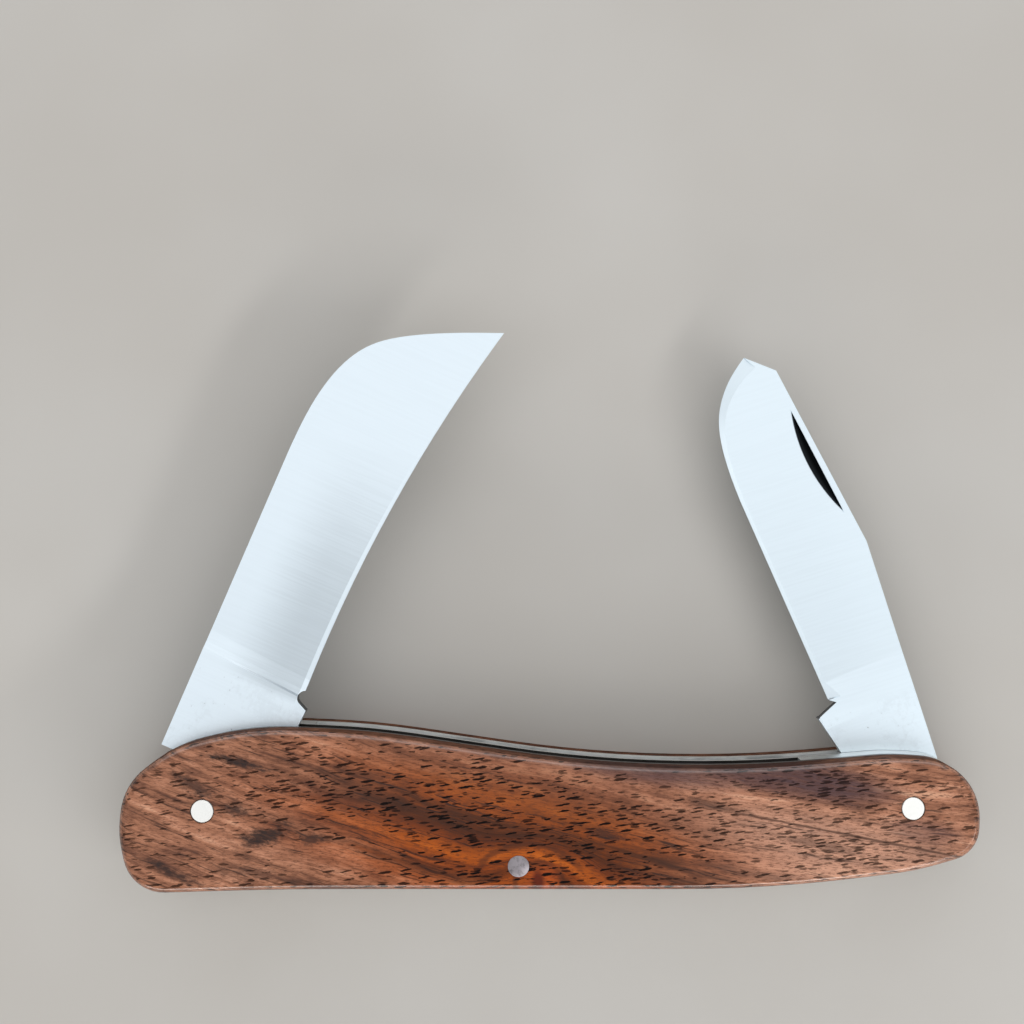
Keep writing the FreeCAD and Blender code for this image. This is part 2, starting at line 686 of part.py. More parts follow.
def make_spey():
    spine = -sizes["spey_spine"]
    reach = sizes["spey_reach"]
    belly = sizes["spey_belly"]
    heel = (sizes["spey_heel"], sizes["spey_heel_drop"])
    kick = (sizes["spey_kick"], sizes["spey_kick_drop"])
    tang = sizes["spey_tang"]
    shoulder = sizes["spey_shoulder"]
    # the back: its corner, then the start of the blunt tip flat
    corner_share = 0.546
    tip_flat_shares = (0.953, 0.31)
    tip_share = 0.19
    straight_shares = (0.71, 0.98)
    belly_shares = ((0.845, 1.06), (0.935, 0.81), (0.977, 0.44))
    notch_shares = (0.3, 0.82)
    kick_shares = (0.594, 0.779)
    # the tang: closed flat, round run, open flat
    closed_flat_shares = ((0.356, 0.934), (-0.466, 0.885))
    open_flat_shares = (-0.411, -0.912)
    # the grind runs in softly
    ramp_shares = ((1.0, 1.0),)
    plunge_line = (sizes["spey_plunge_lead"], sizes["spey_plunge_angle"],
                   sizes["spey_plunge_ramp"], ramp_shares)
    tip = (reach, belly * tip_share)
    straight_end = (reach * straight_shares[0], belly * straight_shares[1])
    round_poles = tuple((reach * along, belly * down) for along, down in belly_shares)
    open_flat = (tang * open_flat_shares[0], tang * open_flat_shares[1])
    steps = [
        ((reach * corner_share, spine),),
        ((reach * tip_flat_shares[0], spine * tip_flat_shares[1]),),
        (tip,),
        round_poles[::-1] + (straight_end,),
        (heel,),
        ((heel[0] - (heel[0] - kick[0]) * notch_shares[0], heel[1] * notch_shares[1]),),
        (kick,),
        ((kick[0] * kick_shares[0], kick[1] * kick_shares[1]),),
        *(((tang * along, tang * down),) for along, down in closed_flat_shares),
        ((-tang, 0), open_flat),
        ((shoulder, open_flat[1]),),
        ((shoulder, spine),),
    ]
    spine_span = sizes["spey_spine"] + (sizes["spey_heel_drop"] + belly) / 2
    body = make_blade("spey_blade", spey_pivot, rear_slot_base, sizes["spey_angle"],
                      ((shoulder, spine), steps), heel, [(straight_end,), round_poles + (tip,)],
                      -1, plunge_line, spine_span)
    nick_rise = sizes["spey_nick_rise"]
    nick_half = ground_half(spine_span, sizes["spey_heel_drop"] + nick_rise)
    place = (sizes["spey_nick_reach"], -nick_rise, nick_half)
    nail_nick(body, place, value_of(sizes["spey_nick_angle"]), 1, -1)
    return body


def make_pivot_set(name, place, slot_base):
    """The bushing that a blade turns on and the washers on its two sides."""
    bushing = sizes["bushing_diameter"]
    bore = sizes["pivot_pin_diameter"] + fit_gap * 2
    eye = bushing + fit_gap * 2
    washer_top = slot_base + slot_width - washer_thickness
    return [
        make_ring(f"{name}_bushing", place, slot_base, bushing, bore, slot_width),
        make_ring(f"{name}_rear_washer", place, slot_base, sizes["washer_diameter"], eye, washer_thickness),
        make_ring(f"{name}_front_washer", place, washer_top, sizes["washer_diameter"], eye,
                  washer_thickness),
    ]


parts = [
    make_scale("front_scale", front_scale_base, scale_thickness),
    make_plate("front_liner", front_liner_base, liner_thickness),
    make_plate("centre_liner", divider_base, sizes["divider_thickness"]),
    make_plate("rear_liner", rear_liner_base, liner_thickness),
    make_scale("rear_scale", 0, 0),
    make_hawkbill_spring(),
    make_spey_spring(),
    make_hawkbill(),
    make_spey(),
    make_pin("hawkbill_pivot_pin", hawkbill_pivot, sizes["pivot_pin_diameter"], None),
    make_pin("spey_pivot_pin", spey_pivot, sizes["pivot_pin_diameter"], None),
    make_pin("centre_pin", centre_place, sizes["centre_pin_diameter"], sizes["centre_pin_dome"]),
]
parts += make_pivot_set("hawkbill", hawkbill_pivot, front_slot_base)
parts += make_pivot_set("spey", spey_pivot, rear_slot_base)

doc.recompute()
for thing in doc.Objects:
    if "Invalid" in thing.State or "Error" in thing.State:
        raise RuntimeError(f"{thing.Label} did not build")
os.makedirs("parts", exist_ok=True)
for part in parts:
    if part.Shape.isNull() or not part.Shape.isValid():
        raise RuntimeError(f"{part.Label} is not a valid solid")
    part.Shape.exportStep(f"parts/{part.Label}.step")
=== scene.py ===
import json
import math
from types import SimpleNamespace

import bpy
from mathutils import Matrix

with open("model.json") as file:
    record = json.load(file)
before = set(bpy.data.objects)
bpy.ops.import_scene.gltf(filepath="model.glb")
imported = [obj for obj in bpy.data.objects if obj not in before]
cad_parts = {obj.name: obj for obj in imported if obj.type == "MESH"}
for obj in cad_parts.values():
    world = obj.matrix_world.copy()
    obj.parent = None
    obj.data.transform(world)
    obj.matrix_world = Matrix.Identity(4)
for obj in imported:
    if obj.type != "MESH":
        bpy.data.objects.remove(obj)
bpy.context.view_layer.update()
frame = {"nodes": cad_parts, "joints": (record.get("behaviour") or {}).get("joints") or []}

MM = 0.001
TO_MM = 1000.0
ORIGIN = (0.0, 0.0, 0.0)
NOISE_MIDDLE = 0.5


def rgb(red, green, blue):
    """A colour as the eye reads it, 0 to 255, turned into light."""
    def linear(c):
        c /= 255.0
        return c / 12.92 if c <= 0.04045 else ((c + 0.055) / 1.055) ** 2.4
    return (linear(red), linear(green), linear(blue))


def shaded(colour, share):
    return tuple(c * share for c in colour)


class Term:
    """A shader socket that takes part in sums; each sum adds its Math node."""

    def __init__(self, finish, socket):
        self.finish = finish
        self.socket = socket

    def math(self, operation, *terms):
        return self.finish.node("Math", {"operation": operation}, *terms)

    def __add__(self, other):
        return self.math("ADD", self, other)

    __radd__ = __add__

    def __sub__(self, other):
        return self.math("SUBTRACT", self, other)

    def __rsub__(self, other):
        return self.math("SUBTRACT", other, self)

    def __mul__(self, other):
        return self.math("MULTIPLY", self, other)

    __rmul__ = __mul__

    def __abs__(self):
        return self.math("ABSOLUTE", self)

    def __or__(self, other):
        """The larger of two masks."""
        return self.math("MAXIMUM", self, other)


def swing(noise):
    """A noise as a swing about zero."""
    return noise - NOISE_MIDDLE


class Finish:
    """A material with its nodes."""

    def __init__(self, name):
        self.material = bpy.data.materials.new(name)
        self.material.use_nodes = True
        self.tree = self.material.node_tree
        self.shader = self.tree.nodes["Principled BSDF"]
        self.row_place = self.node("TexCoord", output="Object")

    def node(self, kind, settings=None, *values, output=None, **named):
        """Add a node: its settings first, then its sockets by order or by name."""
        made = self.tree.nodes.new("ShaderNode" + kind)
        for setting, value in (settings or {}).items():
            if setting == "stops":
                self.fill_ramp(made.color_ramp, value)
            else:
                setattr(made, setting, value)
        sockets = [s for s in made.inputs if s.enabled]
        for socket, value in zip(sockets, values):
            self.give(socket, value)
        for name, value in named.items():
            self.give(self.named(sockets, name), value)
        outputs = [s for s in made.outputs if s.enabled]
        return Term(self, outputs[0] if output is None else self.named(outputs, output))

    @staticmethod
    def named(sockets, name):
        return next(s for s in sockets if s.name.lower() == name.replace("_", " ").lower())

    def give(self, socket, value):
        if isinstance(value, Term):
            self.tree.links.new(value.socket, socket)
        elif socket.type == "RGBA":
            socket.default_value = (*value, 1.0)
        else:
            socket.default_value = value

    @staticmethod
    def fill_ramp(ramp, stops):
        while len(ramp.elements) < len(stops):
            ramp.elements.new(1.0)
        for element, (position, colour) in zip(ramp.elements, stops):
            element.position = position
            element.color = (*rgb(*colour), 1.0)

    def set(self, **named):
        """Set or link sockets of the surface shader."""
        for name, value in named.items():
            self.give(self.named(self.shader.inputs, name), value)

    def places(self, centre=ORIGIN, angle=0.0):
        """Places in millimetres from a centre, along axes turned by an angle."""
        return self.node("Mapping", {"vector_type": "TEXTURE"}, Vector=self.row_place,
                         Location=tuple(c * MM for c in centre),
                         Rotation=(0.0, 0.0, math.radians(angle)), Scale=(MM, MM, MM))

    def stretched(self, vector, stretch, shift=0.0):
        return self.node("VectorMath", {"operation": "MULTIPLY_ADD"}, vector, stretch, (0.0, 0.0, shift))

    def parts(self, vector):
        outputs = self.node("SeparateXYZ", None, vector).socket.node.outputs
        return [Term(self, socket) for socket in outputs]

    def joined(self, x, y, z):
        return self.node("CombineXYZ", None, x, y, z)

    def flatness(self):
        """1 on a face that lies flat, 0 on an upright one."""
        facing = self.parts(self.node("NewGeometry", output="Normal"))[2]
        return facing * facing

    def noise(self, vector, stretch, detail, roughness, shift=0.0):
        return self.node("TexNoise", None, Vector=self.stretched(vector, stretch, shift), Scale=1.0,
                         Detail=detail, Roughness=roughness)

    def step(self, value, low, high):
        """A soft step from 0 at low to 1 at high."""
        return self.node("MapRange", {"interpolation_type": "SMOOTHSTEP"}, value, low, high, 0.0, 1.0)

    def ramp(self, value, stops):
        return self.node("ValToRGB", {"stops": stops}, value)

    def reach(self, centre, size, angle=0.0):
        """How far out of an ellipse: 0 in its middle, 1 on its rim."""
        near = self.stretched(self.places((*centre, 0.0), angle), (1 / size[0], 1 / size[1], 0.0))
        return self.node("VectorMath", {"operation": "LENGTH"}, near, output="Value")

    def spot(self, centre, size, angle=0.0, core=0.0, ragged=0.0):
        """1 in the core of an ellipse, fading to 0 at its rim, which may be ragged."""
        return self.step(self.reach(centre, size, angle) + ragged, 1.0, core)

    def patches(self, table, core, ragged=0.0):
        """The spots of a table, each with its strength."""
        return sum(self.spot(place, size, angle, core, ragged) * strength
                   for place, size, angle, strength in table)

    def mix(self, share, first, second):
        return self.node("Mix", {"data_type": "RGBA"}, share, first, second)

    def bump(self, height, depth, strength):
        return self.node("Bump", None, Strength=strength, Distance=depth * MM, Height=height)


# in all tables below: places and half sizes are in millimetres and angles in degrees; a mask's two limits
# are where it is 0 and 1; a noise has its stretch along, across and through the piece, its detail, its
# roughness and, where it needs one, a shift that sets it apart from the others
SWAY = ((0.05, 0.16, 0.16), 2.0, 0.5)
BANDS = ((0.016, 0.42, 0.1), 4.0, 0.6)
STREAKS = ((0.11, 1.5, 0.4), 5.0, 0.66, 7.0)
LINES = ((0.2, 3.4, 0.8), 4.0, 0.66, 3.0)
CROWD = ((0.05, 0.45, 1.0), 2.0, 0.5, 11.0)
FIBRES = ((1.1, 5.0, 5.0), 4.0, 0.75)
# only the front scale has the knot, the marks and the figure that follow the photograph
FRONT_HEIGHTS = (6.0, 8.0)
# the warm heart: place, half sizes, angle, core
HEART = ((-4.0, -3.0), (38.0, 13.5), -12.0, 0.3)
KNOT = (-1.3, -7.9)
ARCH_SIZE = (9.0, 8.0)
ARCH_RISE = 3.4
GRAIN_FALL = 0.25
GRAIN_EASE = 0.0014
GRAIN_TILT = 0.25
SWAY_REACH = 2.6
FIBRE_FALL = 0.06


class Grain:
    """Places in the wood, in millimetres, and the noises that its features share."""

    def __init__(self, wood):
        self.place = wood.places()
        x, y, z = wood.parts(self.place)
        self.x, self.y = x, y
        self.front = wood.step(z, *FRONT_HEIGHTS)
        self.heart = wood.spot(*HEART)
        # the grain falls towards the spey's end, ever less steeply, and arches over the knot
        self.sway = swing(wood.noise(self.place, *SWAY))
        arch = wood.spot(KNOT, ARCH_SIZE)
        falling = y + x * GRAIN_FALL - x * x * GRAIN_EASE
        self.across = falling - arch * ARCH_RISE + self.sway * SWAY_REACH + z * GRAIN_TILT
        curved = wood.joined(x, self.across, z)
        self.bands = wood.noise(curved, *BANDS)
        self.streaks = wood.noise(curved, *STREAKS)
        self.lines = wood.noise(curved, *LINES)
        self.crowd = wood.noise(curved, *CROWD)
        self.fibres = wood.noise(wood.joined(x, y + x * FIBRE_FALL, z), *FIBRES)


MOTTLE = ((0.22, 0.4, 0.3), 4.0, 0.6)
BANDS_SHARE = 0.34
STREAKS_SHARE = 0.38
MOTTLE_SHARE = 0.28
# runs of browns: position in the run, colour; the ends' run is paler and greyer than the wood's own browns,
# partly a painted sheen
END_BROWNS = (
    (0.36, (58, 37, 30)),
    (0.43, (112, 70, 51)),
    (0.50, (158, 105, 78)),
    (0.56, (188, 131, 102)),
    (0.63, (214, 161, 130)),
)
HEART_BROWNS = (
    (0.34, (36, 18, 9)),
    (0.43, (82, 38, 14)),
    (0.52, (136, 63, 18)),
    (0.64, (184, 96, 30)),
)
# this run goes straight across the grain, from below the lower rim upwards
FIGURE_BROWNS = (
    (0.06, (76, 36, 17)),
    (0.14, (138, 60, 17)),
    (0.22, (182, 84, 18)),
    (0.26, (54, 25, 10)),
    (0.31, (138, 61, 15)),
    (0.36, (194, 95, 22)),
    (0.43, (116, 52, 17)),
    (0.49, (48, 25, 12)),
    (0.55, (76, 39, 17)),
    (0.61, (144, 70, 22)),
    (0.67, (152, 79, 30)),
    (0.74, (110, 62, 36)),
    (0.84, (92, 58, 46)),
)
FIGURE_START = 13.0
FIGURE_SPAN = 25.0
FIGURE_SWING = 3.0
FIGURE_SHARE = 0.55
# a painted sheen: a paler stretch near the spey's end: place, half sizes, angle, core
SHEEN_STRETCH = ((30.0, -4.6), (24.0, 6.5), -8.0, 0.35)
SHEEN_PALE_BROWN = rgb(212, 163, 138)
SHEEN_SHARE = 0.5
SHEEN_LOSS_IN_HEART = 0.7


def ground_browns(wood, grain):
    """A warm heart and duller ends, each by its own run of browns; the ends' greyer browns are partly painted
    sheen, and a painted sheen pales a stretch near the spey's end.
    """
    mottle = wood.noise(grain.place, *MOTTLE)
    tone = grain.bands * BANDS_SHARE + grain.streaks * STREAKS_SHARE + mottle * MOTTLE_SHARE
    rise = grain.across + swing(grain.streaks) * FIGURE_SWING + FIGURE_START
    figure = wood.ramp(rise * (1 / FIGURE_SPAN), FIGURE_BROWNS)
    warm = wood.mix(grain.front * FIGURE_SHARE, wood.ramp(tone, HEART_BROWNS), figure)
    # painted sheen near the spey's end, weaker in the heart
    pale = wood.spot(*SHEEN_STRETCH) * (1.0 - grain.heart * SHEEN_LOSS_IN_HEART)
    ends = wood.mix(pale * SHEEN_SHARE, wood.ramp(tone, END_BROWNS), SHEEN_PALE_BROWN)
    return wood.mix(grain.heart, ends, warm)


LINE_BROWN = rgb(50, 29, 21)
FINE_LIMITS = (0.55, 0.64)
FINE_BAND_LIMITS = (0.66, 0.44)
FINE_STRENGTH = 0.8
FINE_GAIN_IN_HEART = 0.15
# one long line near the spey's end: its fall, its height at the middle of the handle and where it begins
LONG_LINE_FALL = 0.2
LONG_LINE_HEIGHT = 4.05
LONG_LINE_START = (18.0, 24.0)
LONG_LINE_WANDER = 0.5
LONG_LINE_WIDTHS = (0.2, 0.06)
LONG_LINE_STRENGTH = 0.75
# two lines that arch over the knot: place, half sizes, angle
WIDE_ARCH = ((-2.4, -9.4), (6.6, 5.5), -6.0)
WIDE_ARCH_SWAY = 0.5
WIDE_ARCH_WANDER = 0.2
WIDE_ARCH_WIDTHS = (0.10, 0.02)
WIDE_ARCH_HEIGHTS = (-7.6, -5.6)
CLOSE_ARCH = (KNOT, (2.6, 2.1))
CLOSE_ARCH_WANDER = 0.5
CLOSE_ARCH_WIDTHS = (0.2, 0.04)
ARCH_STRENGTH = 0.6


def dark_lines(wood, grain, colour):
    """Thin lines along the grain, darkest in the heart, one long line, and two arches over the knot."""
    fine = wood.step(grain.lines, *FINE_LIMITS) * wood.step(grain.bands, *FINE_BAND_LIMITS)
    wander = swing(grain.lines)
    beside = abs(grain.y + grain.x * LONG_LINE_FALL - LONG_LINE_HEIGHT + wander * LONG_LINE_WANDER)
    long_line = wood.step(beside, *LONG_LINE_WIDTHS) * wood.step(grain.x, *LONG_LINE_START)
    off_wide = wood.reach(*WIDE_ARCH) + grain.sway * WIDE_ARCH_SWAY + wander * WIDE_ARCH_WANDER - 1.0
    off_close = wood.reach(*CLOSE_ARCH) + wander * CLOSE_ARCH_WANDER - 1.0
    wide = wood.step(abs(off_wide), *WIDE_ARCH_WIDTHS) * wood.step(grain.y, *WIDE_ARCH_HEIGHTS)
    close = wood.step(abs(off_close), *CLOSE_ARCH_WIDTHS)
    on_front = (long_line * LONG_LINE_STRENGTH | (wide | close) * ARCH_STRENGTH) * grain.front
    everywhere = fine * (FINE_STRENGTH + grain.heart * FINE_GAIN_IN_HEART)
    return wood.mix(everywhere | on_front, colour, LINE_BROWN)


RAGGED_LIMITS = (0.36, 0.56)
# smoky stretches and dark marks: place, half sizes, angle, strength
SMOKE = (
    ((29.5, 3.4), (13.5, 3.0), -9.0, 0.95),
    ((11.0, 5.0), (16.0, 2.6), -9.0, 0.85),
    ((42.0, -2.2), (6.0, 2.0), -10.0, 0.5),
)
SMOKE_BROWN = rgb(76, 54, 57)
SMOKE_CORE = 0.35
SMOKE_RAGGED = 0.45
DARK_MARKS = (
    ((-35.2, 5.6), (4.0, 0.75), -13.0, 1.0),
    ((-32.0, -2.8), (4.4, 1.5), 18.0, 1.0),
    ((-35.1, 0.1), (2.4, 1.0), -14.0, 0.9),
    ((-40.3, 3.0), (3.6, 1.0), -32.0, 0.85),
    ((-26.5, -3.0), (1.9, 1.1), 10.0, 0.9),
    ((-42.4, -7.0), (4.6, 0.8), -27.0, 0.95),
    ((-33.8, -6.9), (6.0, 1.0), -8.0, 0.5),
    ((-21.0, 4.2), (6.0, 0.7), -14.0, 0.45),
    ((6.5, -2.6), (3.2, 0.7), -12.0, 0.8),
    ((29.8, -3.6), (8.0, 0.7), -12.0, 0.5),
    ((19.0, 0.6), (6.5, 0.6), -14.0, 0.5),
)
MARK_BROWN = rgb(40, 27, 24)
MARK_CORE = 0.2
MARK_RAGGED = 0.3
TEARS = ((0.7, 1.5, 1.0), 4.0, 0.7)
TEAR_ANGLE = -12.0
TEAR_REACH = 2.6


def smoke_and_marks(wood, grain, colour):
    """Smoky stretches, and dark marks with torn rims, both broken up by the grain."""
    ragged = wood.step(grain.streaks * 0.5 + grain.lines * 0.3 + grain.fibres * 0.2, *RAGGED_LIMITS)
    smoke = wood.patches(SMOKE, SMOKE_CORE) * grain.front
    smoked = wood.mix(smoke * (1.0 - SMOKE_RAGGED + ragged * SMOKE_RAGGED), colour, SMOKE_BROWN)
    torn = swing(wood.noise(wood.places(ORIGIN, TEAR_ANGLE), *TEARS)) * TEAR_REACH
    marks = wood.patches(DARK_MARKS, MARK_CORE, torn) * grain.front
    return wood.mix(marks * (1.0 - MARK_RAGGED + ragged * MARK_RAGGED), smoked, MARK_BROWN)


# the knot's glow and core: place, half sizes, angle, core
GLOW = ((-0.7, -7.5), (2.5, 2.1), 0.0, 0.3)
GLOW_BROWN = rgb(176, 78, 30)
GLOW_STRENGTH = 0.6
CORE = (KNOT, (1.0, 1.7), 0.0, 0.35)
CORE_RED = rgb(70, 15, 10)
CORE_STRENGTH = 0.85
FIBRE_BROWN = rgb(76, 41, 25)
FIBRE_LIMITS = (0.48, 0.62)
FIBRE_STRENGTH = 0.6


def knot_and_fibres(wood, grain, colour):
    """A red-brown knot, and short fibres over everything."""
    glowing = wood.mix(wood.spot(*GLOW) * grain.front * GLOW_STRENGTH, colour, GLOW_BROWN)
    knotted = wood.mix(wood.spot(*CORE) * grain.front * CORE_STRENGTH, glowing, CORE_RED)
    return wood.mix(wood.step(grain.fibres, *FIBRE_LIMITS) * FIBRE_STRENGTH, knotted, FIBRE_BROWN)


# wide and fine pores: cells per millimetre along and across the grain, angle, rarity
PORE_LAYERS = (((0.47, 2.6), 9.0, 0.60), ((0.6, 3.0), 2.0, 0.62))
PORE_SOFTNESS = 0.05
PORE_WIDTHS = (0.30, 0.20)
PORE_GIRTH = 0.14
PORE_RIM = ((1.8, 4.0, 2.0), 2.0, 0.5)
PORE_RIM_REACH = 0.5
CROWD_REACH = 2.4
CROWD_GAIN_IN_HEART = 0.05
FINE_PORE_STRENGTH = 0.8


def open_pores(wood, grain):
    """Short dashes of two sizes that gather along the bands."""
    crowd = swing(grain.crowd + grain.heart * CROWD_GAIN_IN_HEART) * CROWD_REACH
    rim = swing(wood.noise(grain.place, *PORE_RIM)) * PORE_RIM_REACH
    wide, fine = (pore_layer(wood, crowd, rim, *layer) for layer in PORE_LAYERS)
    return wide | fine * FINE_PORE_STRENGTH


def pore_layer(wood, crowd, rim, cells, angle, rarity):
    """Dashes in cells of a given size; more of the cells hold one where the crowd is thick."""
    along, across = cells
    place = wood.stretched(wood.places(ORIGIN, angle), (along, across, across))
    middle, colour = (wood.node("TexVoronoi", {"feature": "F1"}, Vector=place, Scale=1.0, output=output)
                      for output in ("Distance", "Color"))
    chance, girth, _ = wood.parts(colour)
    present = wood.step(chance + crowd, rarity, rarity + PORE_SOFTNESS)
    return wood.step(middle + rim - girth * PORE_GIRTH, *PORE_WIDTHS) * present


PORE_BROWN = rgb(16, 9, 8)
PORE_STRENGTH = 0.8
PORE_GAIN_IN_HEART = 0.2
# painted shade on the upright walls: its brown and how strongly it darkens them
WALL_SHADE_BROWN = rgb(44, 26, 18)
WALL_SHADE_STRENGTH = 0.6
WALL_FLATNESS = (0.35, 0.05)
RIM_FLATNESS = (0.92, 0.6)


def hardwood():
    """Oiled figured hardwood, glossier on the rounded rim and dull on its walls and in its pores, with
    painted shade that darkens its upright walls.
    """
    wood = Finish("oiled_hardwood")
    grain = Grain(wood)
    lined = dark_lines(wood, grain, ground_browns(wood, grain))
    grown = knot_and_fibres(wood, grain, smoke_and_marks(wood, grain, lined))
    pores = open_pores(wood, grain)
    surface = wood.mix(pores * (PORE_STRENGTH + grain.heart * PORE_GAIN_IN_HEART), grown, PORE_BROWN)
    flatness = wood.flatness()
    wall = wood.step(flatness, *WALL_FLATNESS)
    rim = wood.step(flatness, *RIM_FLATNESS) * (1.0 - wall)
    dull = pores | wall
    # the upright walls get painted shade in their base colour
    wood.set(Base_Color=wood.mix(wall * WALL_SHADE_STRENGTH, surface, WALL_SHADE_BROWN), Roughness=0.4 + dull * 0.35,
             Coat_Weight=0.19 + rim * 0.8 - dull * 0.18, Coat_Roughness=0.12, Coat_IOR=1.8,
             Specular_IOR_Level=0.07, Normal=wood.bump(grain.fibres * 0.1 - pores, 0.05, 0.6))
    return wood.material


# both blades, in millimetres from the pivot, along the blade and across it: the fold and the direction that
# it opens to; the side of the spine; the ground face's height beside the pivot and its slopes along the blade
# and towards the spine; where the grind begins; the nick's place, turn and face, 1 for the front and -1 for
# the rear; the notch's place; how flat the ramps are, from and to, and their painted shade; the honed edge, a
# painted highlight: its heel, its length and the curve that it follows
HAWKBILL = SimpleNamespace(
    fold="hawkbill_fold", opens_to=180.0, spine_side=1.0, face_height=0.39, face_slopes=(0.0038, 0.0565),
    plunge=15.9, nick=(39.0, 6.3), nick_turn=0.0, nick_face=-1.0, notch=(15.4, -5.2),
    ramp_flatness=(0.75, 0.6), ramp_shade=0.6, honed=(16.4, 46.9, -5.0, 1.6, -6.2))
SPEY = SimpleNamespace(
    fold="spey_fold", opens_to=0.0, spine_side=-1.0, face_height=0.418, face_slopes=(0.0068, 0.0725),
    plunge=12.4, nick=(40.5, -2.9), nick_turn=9.4, nick_face=1.0, notch=(12.6, 4.9),
    ramp_flatness=(0.93, 0.88), ramp_shade=0.95, honed=None)


def blade_at_rest(blade):
    """The pivot in millimetres and the direction of the blade, from its fold in the frame."""
    fold = next(joint for joint in frame["joints"] if joint["name"] == blade.fold)
    pivot = tuple(c * TO_MM for c in fold["pos_m"])
    return pivot, blade.opens_to - fold["axis"][2] * fold["range_deg"][1]


def blade_spot(steel, blade, place, size, angle, core):
    """A spot at a place on the blade."""
    pivot, direction = blade_at_rest(blade)
    turn = math.radians(direction)
    along, across = place
    centre = (pivot[0] + along * math.cos(turn) - across * math.sin(turn),
              pivot[1] + along * math.sin(turn) + across * math.cos(turn))
    return steel.spot(centre, size, direction + angle, core)


HONED_WIDTHS = (0.64, 0.54)
HONED_THINNING = 0.3
HONED_FADE = (56.0, 40.0)


def honed_edge_highlight(steel, blade, along, spineward):
    """A bright strip along the edge that thins out towards the point: a honed edge, kept out of the painted
    shade as a painted highlight.
    """
    heel, length, start, slope, curve = blade.honed
    share = (along - heel) * (1 / length)
    inside = spineward - (share * share * curve + share * slope + start)
    return steel.step(inside + share * HONED_THINNING, *HONED_WIDTHS) * steel.step(along, *HONED_FADE)


# painted shade in the nail nick and on the notch's walls: sizes, cores, depths, heights and strengths
NICK_SIZE = (7.0, 2.0)
NICK_CORE = 0.9
NICK_DEPTHS = (0.02, 0.06)
NICK_HEIGHTS = (0.0, 0.1)
NICK_STRENGTH = 0.97
NOTCH_SIZE = (1.7, 1.7)
NOTCH_CORE = 0.8
NOTCH_FLATNESS = (0.3, 0.1)
NOTCH_STRENGTH = 0.9


def painted_recess_shade(steel, blade, along, spineward, up):
    """Painted shade in the nail nick, below the ground face, and on the walls of the notch."""
    near = blade_spot(steel, blade, blade.nick, NICK_SIZE, blade.nick_turn, NICK_CORE)
    rise, tilt = blade.face_slopes
    face = along * rise + spineward * tilt + blade.face_height
    height = up * blade.nick_face
    sunk = steel.step(face - height, *NICK_DEPTHS) * near * steel.step(height, *NICK_HEIGHTS)
    notch = blade_spot(steel, blade, blade.notch, NOTCH_SIZE, 0.0, NOTCH_CORE)
    walls = steel.step(steel.flatness(), *NOTCH_FLATNESS) * notch
    return sunk * NICK_STRENGTH | walls * NOTCH_STRENGTH


GRIND_LINES = ((3.6, 0.1, 0.3), 2.0, 0.6)
STEEL_CLOUD = ((0.11, 0.16, 0.1), 3.0, 0.5)
STEEL_SPECKS = ((1.3, 1.5, 1.0), 4.0, 0.7)
PLUNGE_WIDTH = 1.5
UPRIGHT_FLATNESS = (0.2, 0.3)
# the heavier satin, darkened by a painted shade, fades towards the spine and along the blade
SATIN_SPINEWARD = (5.5, -2.0)
SATIN_ALONG = (48.0, 24.0)
SATIN_SHADE_STRENGTH = 0.75
SATIN_PAINTED_SHADE = 0.66
LINE_LIMITS = (0.35, 0.65)
LINE_STRENGTH = 0.08
LINE_GAIN_IN_SATIN = 0.5
LINE_SHADE = 0.82
PIT_LIMITS = (0.67, 0.72)
PIT_STRENGTH = 0.5
SMEAR_LIMITS = (0.52, 0.62)
SMEAR_STRENGTH = 0.06
PIT_GREY = rgb(112, 114, 118)
# the black of the painted shade in the nick and notch
RECESS_SHADE_BLACK = rgb(30, 33, 37)


